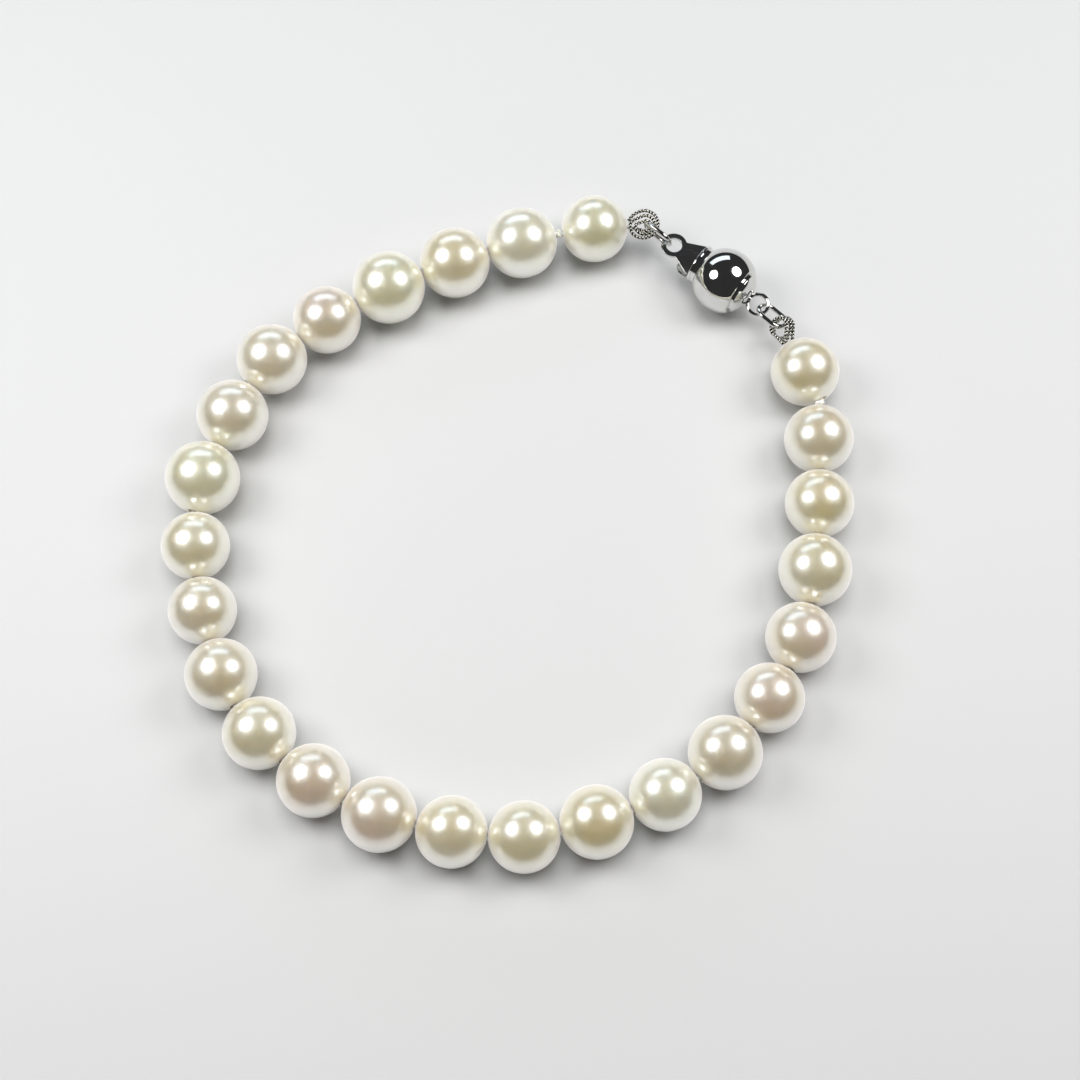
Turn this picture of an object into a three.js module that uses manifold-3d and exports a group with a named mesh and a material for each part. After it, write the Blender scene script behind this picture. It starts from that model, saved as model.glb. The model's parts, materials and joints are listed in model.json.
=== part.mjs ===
// A strand bracelet of drilled pearls with a push-in ball clasp, fastened and lying flat.
// Millimetres, +Z up. The bracelet rests on z = 0 and the origin is under the middle of its box.
import * as THREE from "three";
import { mergeVertices } from "three/addons/utils/BufferGeometryUtils.js";
import Module from "manifold-3d";

const wasm = await Module();
wasm.setup();

// ---- Driving dimensions -------------------------------------------------

// Nacre tones of the pearls.
const TONES = {
  cream: 0xf1ead9,
  greenish: 0xeceadb,
  silver: 0xeff0ec,
  beige: 0xeadfcd,
  pinkish: 0xf0e2da,
  olive: 0xe6e0c9,
  golden: 0xefe3c4,
};

// The pearls in their order on the silk, from the clasp's tongue round to its ball.
const PEARLS = [
  { diameter: 6.5, tone: "greenish" },
  { diameter: 6.9, tone: "silver" },
  { diameter: 6.8, tone: "cream" },
  { diameter: 7, tone: "greenish" },
  { diameter: 6.5, tone: "pinkish" },
  { diameter: 6.7, tone: "beige" },
  { diameter: 6.7, tone: "beige" },
  { diameter: 6.9, tone: "greenish" },
  { diameter: 6.3, tone: "olive" },
  { diameter: 6.2, tone: "beige" },
  { diameter: 6.5, tone: "beige" },
  { diameter: 6.5, tone: "olive" },
  { diameter: 6.5, tone: "pinkish" },
  { diameter: 6.6, tone: "pinkish" },
  { diameter: 6.3, tone: "cream" },
  { diameter: 6.3, tone: "olive" },
  { diameter: 6.5, tone: "golden" },
  { diameter: 6.4, tone: "silver" },
  { diameter: 6.6, tone: "beige" },
  { diameter: 6.3, tone: "pinkish" },
  { diameter: 6.4, tone: "pinkish" },
  { diameter: 6.7, tone: "olive" },
  { diameter: 6.4, tone: "golden" },
  { diameter: 6.5, tone: "beige" },
  { diameter: 6.5, tone: "golden" },
];
const DRILL_RADIUS = 0.4;
const PEARL_SIDES = 16;
const PEARL_BANDS = 8;

// The line that the silk takes over the table, from the first pearl's outer drill hole to the last one's.
const SILK_ROUTE = [
  [11.3, 30.5],
  [1.9, 28.5],
  [-11.7, 23.4],
  [-21.8, 16.8],
  [-25.5, 11.4],
  [-29, 0.7],
  [-25.1, -16.6],
  [-15.2, -26.1],
  [-4.8, -29.4],
  [3.8, -29.5],
  [17.2, -24],
  [25.5, -13.5],
  [28.1, -3.9],
  [28.4, 13.4],
  [26.1, 17],
];
const SILK_RADIUS = 0.2;
const SILK_SIDES = 6;

// Neighbouring pearls all but touch, except where the silk is knotted between them.
const PEARL_GAP = 0.02;
const KNOTS = [
  { after: 1, gap: 0.65, radius: 0.45 },
  { after: 24, gap: 0.5, radius: 0.5 },
];
const KNOT_CLEARANCE = 0.05;

// The clasp lies on its ball. Its own X axis runs from the tongue's eye to the ball's ring.
const CLASP_PLACE = { x: 20.7, y: 24.2, heading: -37.5 };
const BALL_RADIUS = 3.15;
const BALL_WALL = 0.35;
const BALL_SIDES = 24;
const COLLAR = { radius: 2, front: -3.15, back: -2.87, bevel: 0.08 };
const SEAM = { radius: 1.88, back: -2.42 };
const GROOVE = { at: 1.92, width: 0.3, depth: 0.42 };
const CAP = { radius: 3.1, flat: 0.7 };
const SLOT = { halfWidth: 1.42, top: 0.6, bottom: -0.78 };
const BALL_RING = { at: 4, drop: 0.25, tilt: 16, radius: 1, wire: 0.21 };
const SOLDER = { from: 2.9, to: 3.25, radius: 0.34 };

// The tongue is one strip folded into a V: a plate with an eye above, a springy leaf below.
const TONGUE = { foldAt: -0.75, top: 0.45, thickness: 0.3, halfWidth: 1.3 };
const EYE = { at: -6.1, radius: 1.28, hole: 0.78, neckAngle: 50 };
const SHOULDER = { back: -3.3, front: -3.55, halfWidth: 1.75 };
const NECK = { at: -5.1, halfWidth: 1.05 };
const LEAF = { thickness: 0.25, foldDrop: -0.2, slotAt: -3.1, slotDrop: -0.45, endAt: -4.9, endDrop: -0.85 };
const THUMB_TAB = { back: -3.3, front: -3.5, halfWidth: 1.8, corner: 0.5 };

// Oval jump rings, made from round wire. A roll of 90 stands one on edge.
const JUMP_RING = { length: 3.5, width: 2.6, wire: 0.24 };
const JUMP_RINGS = [
  { name: "jump_ring_tongue", from: -6.58, heading: 139.5, height: 3.45, roll: 78 },
  { name: "jump_ring_ball", from: 4.32, heading: -44, height: 2.9, roll: -30 },
];

// French wire: a fine coil over the silk, taken three times round the jump ring from the drill hole.
const GIMP = { radius: 0.17, sides: 6, steps: 60 };
const TURN_ANGLES = [135, 90, 45, 0, -45, -90, -135];
// Each loop has its own axes, from the drill hole: out to the jump ring, aside across the turns, and
// rise along the ring's wire. Each turn's middle is a little back from that wire.
// Between two turns the coil passes close to the drill hole.
const GIMP_LOOPS = [
  {
    name: "french_wire_tongue",
    pearl: 0,
    ring: 0,
    tilt: 0,
    lastSink: 0.36,
    start: { out: 0.15, aside: 0.34, rise: 0.06 },
    turns: [
      { radius: 1.42, back: 0.22, rise: 0.22 },
      { radius: 0.97, back: 0.12, rise: 0.1 },
      { radius: 0.52, back: 0.02, rise: -0.1 },
    ],
    passes: [
      { out: 0.42, aside: -0.04, rise: 0.26 },
      { out: 0.92, aside: -0.02, rise: -0.02 },
    ],
    end: { out: 0.15, aside: -0.3, rise: -0.2 },
  },
  {
    name: "french_wire_ball",
    pearl: 24,
    ring: 1,
    tilt: 22,
    lastSink: 0,
    start: { out: 0.15, aside: 0.3, rise: 0.38 },
    turns: [
      { radius: 1.1, back: 0.1, rise: 0.52 },
      { radius: 1, back: 0.1, rise: 0.14 },
      { radius: 0.9, back: 0.1, rise: -0.38 },
    ],
    passes: [
      { out: 0.56, aside: -0.2, rise: 0.22 },
      { out: 0.76, aside: 0.2, rise: -0.3 },
    ],
    end: { out: 0.15, aside: -0.25, rise: -0.4 },
  },
];

// The middle of the laid bracelet's box, which the origin is set under.
const LAID_CENTRE = { x: 0.07, y: 0.06 };

// ---- Helpers ------------------------------------------------------------

const radians = THREE.MathUtils.degToRad;

// A closed geometry as a solid that can be cut and joined.
function solidOf(geometry) {
  const bare = geometry.clone();
  bare.deleteAttribute("normal");
  bare.deleteAttribute("uv");
  const merged = mergeVertices(bare, 1e-4);
  return new wasm.Manifold(
    new wasm.Mesh({
      numProp: 3,
      vertProperties: merged.attributes.position.array,
      triVerts: new Uint32Array(merged.index.array),
    }),
  );
}

// A solid's surface as a geometry.
function geometryOf(solid) {
  const mesh = solid.getMesh();
  const geometry = new THREE.BufferGeometry();
  geometry.setAttribute("position", new THREE.BufferAttribute(mesh.vertProperties, 3));
  geometry.setIndex(new THREE.BufferAttribute(mesh.triVerts, 1));
  geometry.computeVertexNormals();
  return geometry;
}

// A profile of [along, radius] points turned about the X axis.
function turnedAboutX(profile, sides) {
  const points = profile.map(([along, radius]) => new THREE.Vector2(radius, along));
  return new THREE.LatheGeometry(points, sides).rotateZ(-Math.PI / 2);
}

// Points on an arc of a circle as [along, radius] pairs, ends included.
function arc(centre, radius, from, to, pieces) {
  const points = [];
  for (let i = 0; i <= pieces; i++) {
    const angle = from + ((to - from) * i) / pieces;
    points.push([centre[0] + radius * Math.cos(angle), centre[1] + radius * Math.sin(angle)]);
  }
  return points;
}

// A closed outline of [x, y] points as a flat shape.
function flatShape(outline) {
  return new THREE.Shape(outline.map(([x, y]) => new THREE.Vector2(x, y)));
}

// A regular polygon, the section of a round wire or thread.
function roundSection(radius, sides) {
  return flatShape(arc([0, 0], radius, 0, (2 * Math.PI * (sides - 1)) / sides, sides - 1));
}

function tubeAlong(curve, radius, sides, steps) {
  const section = roundSection(radius, sides);
  return new THREE.ExtrudeGeometry(section, { steps, bevelEnabled: false, extrudePath: curve });
}

const whiteMetal = () => new THREE.MeshStandardMaterial({ color: 0xd8d8d8, metalness: 1, roughness: 0.12 });

function named(name, geometry, material) {
  const mesh = new THREE.Mesh(geometry, material);
  mesh.name = name;
  return mesh;
}

// ---- Where each pearl lies ----------------------------------------------

const silkCurve = new THREE.CatmullRomCurve3(
  SILK_ROUTE.map(([x, y]) => new THREE.Vector3(x, y, 0)),
  false,
  "centripetal",
);

const knotAfter = (count) => KNOTS.find((row) => row.after === count);
const gapAfter = (count) => knotAfter(count)?.gap ?? PEARL_GAP;

// The share of the route, past start, at which the route is a given distance from a point.
function shareAtDistance(point, distance, start) {
  let low = start;
  let high = Math.min(1, start + (2 * distance) / silkCurve.getLength());
  for (let i = 0; i < 40; i++) {
    const middle = (low + high) / 2;
    if (silkCurve.getPointAt(middle).distanceTo(point) < distance) low = middle;
    else high = middle;
  }
  return low;
}

// Pearls are threaded one against the next: each centre is its own radius above the table.
function threadPearls() {
  const places = [];
  let share = PEARLS[0].diameter / 2 / silkCurve.getLength();
  PEARLS.forEach(({ diameter, tone }, i) => {
    const radius = diameter / 2;
    const last = places[i - 1];
    if (last) {
      const apart = last.radius + radius + gapAfter(i);
      const onTable = Math.sqrt(apart ** 2 - (last.radius - radius) ** 2);
      share = shareAtDistance(last.onTable, onTable, share);
    }
    const onTable = silkCurve.getPointAt(share);
    const along = silkCurve.getTangentAt(share);
    const centre = onTable.clone().setZ(radius);
    places.push({ radius, tone, onTable, along, centre });
  });
  return places;
}

const places = threadPearls();

// Where a pearl's drill hole opens: side -1 is towards the first pearl, +1 towards the last.
function drillMouth(place, side) {
  const reach = Math.sqrt(place.radius ** 2 - DRILL_RADIUS ** 2);
  return place.centre.clone().addScaledVector(place.along, side * reach);
}

// ---- Pearls -------------------------------------------------------------

// A drilled sphere: its profile is the outer arc, closed by the wall of the hole.
function pearlGeometry(radius) {
  const edge = Math.acos(DRILL_RADIUS / radius);
  const profile = arc([0, 0], radius, Math.PI / 2 + edge, Math.PI / 2 - edge, PEARL_BANDS);
  profile.push(profile[0]);
  return turnedAboutX(profile, PEARL_SIDES);
}

function pearl(place, index) {
  const color = TONES[place.tone];
  const nacre = new THREE.MeshStandardMaterial({ color, metalness: 0, roughness: 0.25 });
  const name = "pearl_" + String(index + 1).padStart(2, "0");
  const mesh = named(name, pearlGeometry(place.radius), nacre);
  mesh.position.copy(place.centre);
  mesh.rotation.z = Math.atan2(place.along.y, place.along.x);
  return mesh;
}

// ---- Silk ---------------------------------------------------------------

// Straight stretches from one point to the next, each taking an equal share of the curve.
class Stretches extends THREE.Curve {
  constructor(points) {
    super();
    this.points = points;
  }
  getPoint(share, target = new THREE.Vector3()) {
    const place = share * (this.points.length - 1);
    const index = Math.min(Math.floor(place), this.points.length - 2);
    return target.lerpVectors(this.points[index], this.points[index + 1], place - index);
  }
  getPointAt(share, target) {
    return this.getPoint(share, target);
  }
  getTangentAt(share, target) {
    return this.getTangent(share, target);
  }
}

// The silk bends halfway between two pearls, or on both sides of a knot.
function silkJoints() {
  const joints = [drillMouth(places[0], -1)];
  for (let i = 1; i < places.length; i++) {
    const mouths = [drillMouth(places[i - 1], 1), drillMouth(places[i], -1)];
    joints.push(...(knotAfter(i) ? mouths : [mouths[0].lerp(mouths[1], 0.5)]));
  }
  joints.push(drillMouth(places.at(-1), 1));
  return joints;
}

// A knot is a small round lump between two drill holes, flattened between their pearls.
function knotSolid(knot) {
  const last = places[knot.after - 1];
  const next = places[knot.after];
  const middle = drillMouth(last, 1).lerp(drillMouth(next, -1), 0.5);
  const lump = new THREE.SphereGeometry(1, 10, 6);
  lump.scale(knot.gap / 2 - KNOT_CLEARANCE, knot.radius, knot.radius);
  lump.rotateZ(Math.atan2(next.centre.y - last.centre.y, next.centre.x - last.centre.x));
  lump.translate(middle.x, middle.y, middle.z);
  return solidOf(lump);
}

function silkThread() {
  const joints = silkJoints();
  const thread = tubeAlong(new Stretches(joints), SILK_RADIUS, SILK_SIDES, joints.length - 1);
  const solid = KNOTS.reduce((made, knot) => made.add(knotSolid(knot)), solidOf(thread));
  const material = new THREE.MeshStandardMaterial({ color: 0xf2efe6, metalness: 0, roughness: 0.8 });
  return named("silk_thread", geometryOf(solid), material);
}

// ---- Ball of the clasp --------------------------------------------------

// The end cap is domed down to a small flat, where the ring is soldered on.
const capEnd = Math.sqrt(CAP.radius ** 2 - CAP.flat ** 2);

// Outside of the ball from its mouth to its ring end: collar, seam, sphere, groove, end cap.
function ballOutside() {
  const grooveEnd = GROOVE.at + GROOVE.width;
  const grooveFloor = Math.sqrt(BALL_RADIUS ** 2 - GROOVE.at ** 2) - GROOVE.depth;
  const seamAngle = Math.acos(SEAM.back / BALL_RADIUS);
  const bodyAngle = Math.acos(GROOVE.at / BALL_RADIUS);
  const capAngle = Math.acos(grooveEnd / CAP.radius);
  const flatAngle = Math.asin(CAP.flat / CAP.radius);
  return [
    [COLLAR.front, 0],
    [COLLAR.front, COLLAR.radius - COLLAR.bevel],
    [COLLAR.front + COLLAR.bevel, COLLAR.radius],
    [COLLAR.back, COLLAR.radius],
    [COLLAR.back, SEAM.radius],
    [SEAM.back, SEAM.radius],
    ...arc([0, 0], BALL_RADIUS, seamAngle, bodyAngle, 7),
    [GROOVE.at, grooveFloor],
    [grooveEnd, grooveFloor],
    ...arc([0, 0], CAP.radius, capAngle, flatAngle, 3),
    [capEnd, 0],
  ];
}

// The hollow inside it, one wall thickness in.
function ballInside() {
  const radius = BALL_RADIUS - BALL_WALL;
  const back = GROOVE.at - BALL_WALL;
  const front = COLLAR.front + BALL_WALL;
  const mouthRadius = SEAM.radius - BALL_WALL;
  const frontAngle = Math.PI - Math.asin(mouthRadius / radius);
  const hollowEnd = Math.sqrt(radius ** 2 - GROOVE.at ** 2) - GROOVE.depth;
  return [
    [front, 0],
    [front, mouthRadius],
    ...arc([0, 0], radius, frontAngle, Math.acos(back / radius), 5),
    [back, hollowEnd],
    [capEnd - BALL_WALL, CAP.flat],
    [capEnd - BALL_WALL, 0],
  ];
}

// The slot in the collar's face that the tongue is pushed through.
function slotSolid() {
  const depth = 2 * BALL_WALL;
  const box = new THREE.BoxGeometry(depth, 2 * SLOT.halfWidth, SLOT.top - SLOT.bottom);
  return solidOf(box.translate(COLLAR.front + BALL_WALL / 2, 0, (SLOT.top + SLOT.bottom) / 2));
}

// The ring, with the short neck of solder that joins it to the end cap.
function ballRingSolid() {
  const ring = new THREE.TorusGeometry(BALL_RING.radius, BALL_RING.wire, 6, 18);
  ring.rotateX(radians(BALL_RING.tilt)).translate(BALL_RING.at, 0, -BALL_RING.drop);
  const neck = [
    [SOLDER.from, 0],
    [SOLDER.from, SOLDER.radius],
    [SOLDER.to, SOLDER.radius],
    [SOLDER.to, 0],
  ];
  return solidOf(ring).add(solidOf(turnedAboutX(neck, 8).translate(0, 0, -BALL_RING.drop)));
}

// Two shells, a collar and a ring, soldered into one piece.
function claspBall() {
  const solid = solidOf(turnedAboutX(ballOutside(), BALL_SIDES))
    .subtract(solidOf(turnedAboutX(ballInside(), BALL_SIDES)))
    .subtract(slotSolid())
    .add(ballRingSolid());
  return named("clasp_ball", geometryOf(solid), whiteMetal());
}

// ---- Tongue of the clasp ------------------------------------------------

// A half outline and its mirror image, with what joins their ends.
function mirroredShape(half, end = []) {
  const mirrored = half.map(([x, y]) => [x, -y]).reverse();
  return flatShape([...half, ...end, ...mirrored]);
}

// The plate from above: the part inside the ball, the shoulders, the taper and the eye.
function plateOutline() {
  const neckAngle = radians(EYE.neckAngle);
  const half = [
    [0, TONGUE.halfWidth],
    [SHOULDER.back, TONGUE.halfWidth],
    [SHOULDER.back, SHOULDER.halfWidth],
    [SHOULDER.front, SHOULDER.halfWidth],
    [NECK.at, NECK.halfWidth],
  ];
  const eye = arc([EYE.at, 0], EYE.radius, neckAngle, 2 * Math.PI - neckAngle, 14);
  const shape = mirroredShape(half, eye);
  shape.holes.push(new THREE.Path().absarc(EYE.at, 0, EYE.hole, 0, 2 * Math.PI, true));
  return shape;
}

// The leaf from above: as narrow as the slot, then a wider tab to press, outside the ball.
function leafOutline() {
  const { back, front, halfWidth, corner } = THUMB_TAB;
  const cornerMiddle = [LEAF.endAt + corner, halfWidth - corner];
  return mirroredShape([
    [0, TONGUE.halfWidth],
    [back, TONGUE.halfWidth],
    [front, halfWidth],
    ...arc(cornerMiddle, corner, Math.PI / 2, Math.PI, 4),
  ]);
}

// Halfway between the plate's underside and the leaf, which both bend round it at the fold.
const plateUnder = TONGUE.top - TONGUE.thickness;
const foldMiddle = (plateUnder + LEAF.foldDrop) / 2;

// Seen from the side: the plate, the fold inside the ball, and the leaf that comes back out.
function tongueFold() {
  const eyeEnd = EYE.at - 2 * EYE.radius;
  const innerRadius = (plateUnder - LEAF.foldDrop) / 2;
  const quarter = Math.PI / 2;
  return flatShape([
    [eyeEnd, TONGUE.top],
    ...arc([TONGUE.foldAt, foldMiddle], TONGUE.top - foldMiddle, quarter, -quarter, 8),
    [LEAF.slotAt, LEAF.slotDrop - LEAF.thickness],
    [LEAF.endAt, LEAF.endDrop - LEAF.thickness],
    [LEAF.endAt, LEAF.endDrop],
    [LEAF.slotAt, LEAF.slotDrop],
    ...arc([TONGUE.foldAt, foldMiddle], innerRadius, -quarter, quarter, 4),
    [eyeEnd, plateUnder],
  ]);
}

// The folded strip, cut to the plate's outline above the fold's middle and the leaf's below.
function claspTongue() {
  const straight = { depth: 2 * BALL_RADIUS, bevelEnabled: false, curveSegments: 10 };
  const plate = new THREE.ExtrudeGeometry(plateOutline(), straight);
  const leaf = new THREE.ExtrudeGeometry(leafOutline(), straight);
  const fold = new THREE.ExtrudeGeometry(tongueFold(), straight);
  plate.translate(0, 0, foldMiddle);
  leaf.translate(0, 0, foldMiddle - straight.depth);
  fold.translate(0, 0, -BALL_RADIUS).rotateX(Math.PI / 2);
  const solid = solidOf(plate).add(solidOf(leaf)).intersect(solidOf(fold));
  return named("clasp_tongue", geometryOf(solid), whiteMetal());
}

// ---- Jump rings ---------------------------------------------------------

const claspHeading = radians(CLASP_PLACE.heading);

// A point on the clasp's own axis, at a given height above the table.
function onClaspAxis(along, height) {
  const x = CLASP_PLACE.x + along * Math.cos(claspHeading);
  const y = CLASP_PLACE.y + along * Math.sin(claspHeading);
  return new THREE.Vector3(x, y, height);
}

const ringBend = JUMP_RING.width / 2 - JUMP_RING.wire;

// A jump ring's axes, and the middle of its wire at its near and far end.
function jumpRingAxes(row) {
  const heading = radians(row.heading);
  const along = new THREE.Vector3(Math.cos(heading), Math.sin(heading), 0);
  const across = new THREE.Vector3(0, 0, 1).cross(along).applyAxisAngle(along, radians(row.roll));
  const near = onClaspAxis(row.from, row.height);
  const far = near.clone().addScaledVector(along, JUMP_RING.length - 2 * JUMP_RING.wire);
  return { along, across, near, far };
}

// A round ring pulled apart at the middle: half rings at the ends, straight wires between them.
function jumpRing(row) {
  const ring = new THREE.TorusGeometry(ringBend, JUMP_RING.wire, 8, 18);
  const halfStraight = (JUMP_RING.length - JUMP_RING.width) / 2;
  const position = ring.attributes.position;
  for (let i = 0; i < position.count; i++) {
    position.setX(i, position.getX(i) + Math.sign(position.getX(i)) * halfStraight);
  }
  const mesh = named(row.name, ring, whiteMetal());
  const { near, far } = jumpRingAxes(row);
  mesh.position.lerpVectors(near, far, 0.5);
  mesh.rotation.set(radians(row.roll), 0, radians(row.heading), "ZYX");
  return mesh;
}

// ---- French wire --------------------------------------------------------

// Where a jump ring's far bend comes nearest a drill hole, and which way its wire runs there.
function hookOf(row, mouth) {
  const { along, across, far } = jumpRingAxes(row);
  const bendMiddle = far.clone().addScaledVector(along, -ringBend);
  const pull = mouth.clone().sub(bendMiddle);
  const angle = Math.atan2(pull.dot(across), pull.dot(along));
  const outward = along.clone().multiplyScalar(Math.cos(angle)).addScaledVector(across, Math.sin(angle));
  const wire = across.clone().multiplyScalar(Math.cos(angle)).addScaledVector(along, -Math.sin(angle));
  return { point: bendMiddle.addScaledVector(outward, ringBend), wire };
}

// One turn's points. The last turn sinks towards its end, to come out under the passes.
function turnPoints({ radius, back, rise }, reach, sink) {
  return TURN_ANGLES.map((degrees) => {
    const angle = radians(degrees);
    const sunk = sink * Math.max(0, (-45 - degrees) / 90) ** 2;
    return [reach - back + radius * Math.cos(angle), radius * Math.sin(angle), rise - sunk];
  });
}

// The coil's points: it leaves the drill hole, takes its turns and comes back.
function gimpPoints(row, reach) {
  const point = ({ out, aside, rise }) => [out, aside, rise];
  const turns = row.turns.flatMap((turn, i) => {
    const pass = row.passes[i];
    return pass
      ? [...turnPoints(turn, reach, 0), point(pass)]
      : turnPoints(turn, reach, row.lastSink);
  });
  return [point(row.start), ...turns, point(row.end)];
}

function gimpLoop(row) {
  const mouth = drillMouth(places[row.pearl], row.pearl === 0 ? -1 : 1);
  const hook = hookOf(JUMP_RINGS[row.ring], mouth);
  const out = hook.point.clone().sub(mouth).normalize();
  const aside = hook.wire.clone().cross(out).normalize().applyAxisAngle(out, radians(row.tilt));
  const rise = out.clone().cross(aside);
  const points = gimpPoints(row, hook.point.distanceTo(mouth)).map(([a, b, c]) =>
    mouth.clone().addScaledVector(out, a).addScaledVector(aside, b).addScaledVector(rise, c),
  );
  const curve = new THREE.CatmullRomCurve3(points, false, "centripetal");
  return named(row.name, tubeAlong(curve, GIMP.radius, GIMP.sides, GIMP.steps), whiteMetal());
}

// ---- The bracelet -------------------------------------------------------

const clasp = new THREE.Group();
clasp.position.set(CLASP_PLACE.x, CLASP_PLACE.y, BALL_RADIUS);
clasp.rotation.z = claspHeading;
clasp.add(claspTongue(), claspBall());

const bracelet = new THREE.Group();
bracelet.position.set(-LAID_CENTRE.x, -LAID_CENTRE.y, 0);
bracelet.add(...places.map(pearl), silkThread(), clasp);
bracelet.add(...JUMP_RINGS.map(jumpRing), ...GIMP_LOOPS.map(gimpLoop));

export default bracelet;
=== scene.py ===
# %% [markdown]
# # A strand bracelet of pearls, laid on a table
#
# The bracelet has five kinds of piece: drilled pearls, the silk that they are strung on, a hollow ball clasp
# with its tongue, two jump rings, and the French wire that covers the silk where it goes round a jump ring.
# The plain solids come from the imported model. Here each gets a fine surface of the same form, and a finish.
#
# Every surface is worked out with numpy, as a profile that is turned or a section carried along a path. That
# suits jewellery, because almost every piece of it is turned, drawn as wire or wound.

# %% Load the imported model
import json
import math

import bpy
import numpy as np
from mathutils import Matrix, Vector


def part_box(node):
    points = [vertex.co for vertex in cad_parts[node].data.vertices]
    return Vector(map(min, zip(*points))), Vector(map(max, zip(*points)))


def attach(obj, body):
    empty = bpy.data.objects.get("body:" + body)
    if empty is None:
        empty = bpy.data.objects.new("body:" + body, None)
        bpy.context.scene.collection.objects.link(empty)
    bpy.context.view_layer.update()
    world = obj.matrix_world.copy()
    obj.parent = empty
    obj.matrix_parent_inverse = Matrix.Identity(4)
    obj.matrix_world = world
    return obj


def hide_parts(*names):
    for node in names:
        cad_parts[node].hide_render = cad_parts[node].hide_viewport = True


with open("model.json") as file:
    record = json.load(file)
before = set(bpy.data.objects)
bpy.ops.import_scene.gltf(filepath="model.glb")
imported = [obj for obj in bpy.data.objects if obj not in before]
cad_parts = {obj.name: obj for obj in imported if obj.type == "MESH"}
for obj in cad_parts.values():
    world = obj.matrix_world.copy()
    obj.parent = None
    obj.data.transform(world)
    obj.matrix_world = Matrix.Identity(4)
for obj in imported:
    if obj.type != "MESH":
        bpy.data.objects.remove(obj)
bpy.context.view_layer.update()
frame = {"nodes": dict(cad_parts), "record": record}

MM = 0.001

# %% [markdown]
# ## Camera
#
# The bracelet is looked down on from the front, steeply but not straight from above. A long lens from far
# away would flatten it, so a normal lens is used from a little over two bracelet widths away.

# %% Camera
CAMERA = {"target": (2.68, -2.66, 3.30), "distance": 154.0, "elevation": 70.5, "lens": 55.87, "sensor": 36.0}
NEAREST, FARTHEST = 0.002, 20.0


def make_camera(target, distance, elevation, lens, sensor):
    """A camera that looks along +Y and down, at the target, from the distance in millimetres."""
    rise = math.radians(elevation)
    data = bpy.data.cameras.new("camera")
    data.lens = lens
    data.sensor_width = sensor
    data.clip_start = NEAREST
    data.clip_end = FARTHEST
    camera = bpy.data.objects.new("camera", data)
    back = np.array([0.0, -math.cos(rise), math.sin(rise)])
    camera.location = (np.array(target) + back * distance) * MM
    camera.rotation_euler = (math.pi / 2 - rise, 0.0, 0.0)
    bpy.context.scene.collection.objects.link(camera)
    bpy.context.scene.camera = camera
    return camera


camera = make_camera(**CAMERA)
print("camera at, in mm:", np.round(np.array(camera.location) / MM, 1).tolist())

# %% [markdown]
# ## Surfaces from rings
#
# Every mesh is made in two steps. First, rings of points are joined into a closed shell: the last ring meets
# the first, as in a wire ring, or each end is closed by a fan to its middle. The shell is turned round if the
# volume in it comes out negative, so faces always point outwards. Then from_pydata puts the points and faces
# into a mesh in one go.


# %% Shells
def signed_volume(points, triangles):
    """A sixth of the sum of each triangle's triple product: positive where faces point outwards."""
    a, b, c = (points[triangles[:, k]] for k in range(3))
    return np.einsum("ij,ij->i", a, np.cross(b, c)).sum() / 6


def shell(rings, closed=False):
    """Rings of points, shape (rings, sides, 3), as a closed surface: (points, quads, triangles).
    Corner j of ring i joins corner j + 1 and ring i + 1, and sides wrap round. Open ends get a fan."""
    count, sides = rings.shape[:2]
    points = rings.reshape(-1, 3)
    row = np.arange(count if closed else count - 1)[:, None] * sides
    after = (row + sides) % (count * sides)
    side = np.arange(sides)
    beside = np.roll(side, -1)
    quads = np.stack([row + side, row + beside, after + beside, after + side], axis=-1).reshape(-1, 4)
    triangles = np.empty((0, 3), int)
    if not closed:
        last, middle = (count - 1) * sides, np.full(sides, len(points))
        start = np.stack([beside, side, middle], axis=-1)
        end = np.stack([last + side, last + beside, middle + 1], axis=-1)
        triangles = np.concatenate([start, end])
        points = np.concatenate([points, [rings[0].mean(0), rings[-1].mean(0)]])
    halves = np.concatenate([quads[:, [0, 1, 2]], quads[:, [0, 2, 3]], triangles])
    if signed_volume(points - points.mean(0), halves) < 0:
        quads, triangles = quads[:, ::-1], triangles[:, ::-1]
    return points, quads, triangles


def joined(shells):
    """Several shells as one, each one's corner numbers moved up past those before it."""
    points, quads, triangles = zip(*shells)
    starts = np.cumsum([0] + [len(rows) for rows in points[:-1]])

    def moved(part):
        """The corner numbers of every shell, each with its own start added."""
        return np.concatenate([rows + start for rows, start in zip(part, starts)])

    return np.concatenate(points), moved(quads), moved(triangles)


square = np.array([[0, 0, 0], [1, 0, 0], [1, 1, 0], [0, 1, 0]])
cube = shell(np.stack([square, square + [0, 0, 1]]))
print("a cube as a shell has", *[len(part) for part in cube], "points, quads and triangles")


# %% Meshes
def add_piece(name, surface, material, replaced, crease=40):
    """A shell in millimetres as a smooth-shaded object that rides on the model and stands for its solids."""
    points, quads, triangles = surface
    mesh = bpy.data.meshes.new(name)
    mesh.from_pydata(points * MM, [], quads.tolist() + triangles.tolist(), shade_flat=False)
    mesh.set_sharp_from_angle(angle=math.radians(crease))
    mesh.materials.append(material)
    piece = bpy.data.objects.new(name, mesh)
    bpy.context.scene.collection.objects.link(piece)
    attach(piece, "root")
    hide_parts(*replaced)
    return piece


def add_values(piece, name, values):
    """A number for each vertex, which a material reads by its name."""
    attribute = piece.data.attributes.new(name, "FLOAT", "POINT")
    attribute.data.foreach_set("value", np.asarray(values, np.float32))


def triangle_count(piece):
    """Each face has two triangles fewer than it has corners."""
    return len(piece.data.loops) - 2 * len(piece.data.polygons)


# %% [markdown]
# ## Paths and sections
#
# A section needs two directions across its path at each point. Where the path never runs along some known
# direction, such as straight up for a thread on a table, two cross products with it give both.


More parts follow.
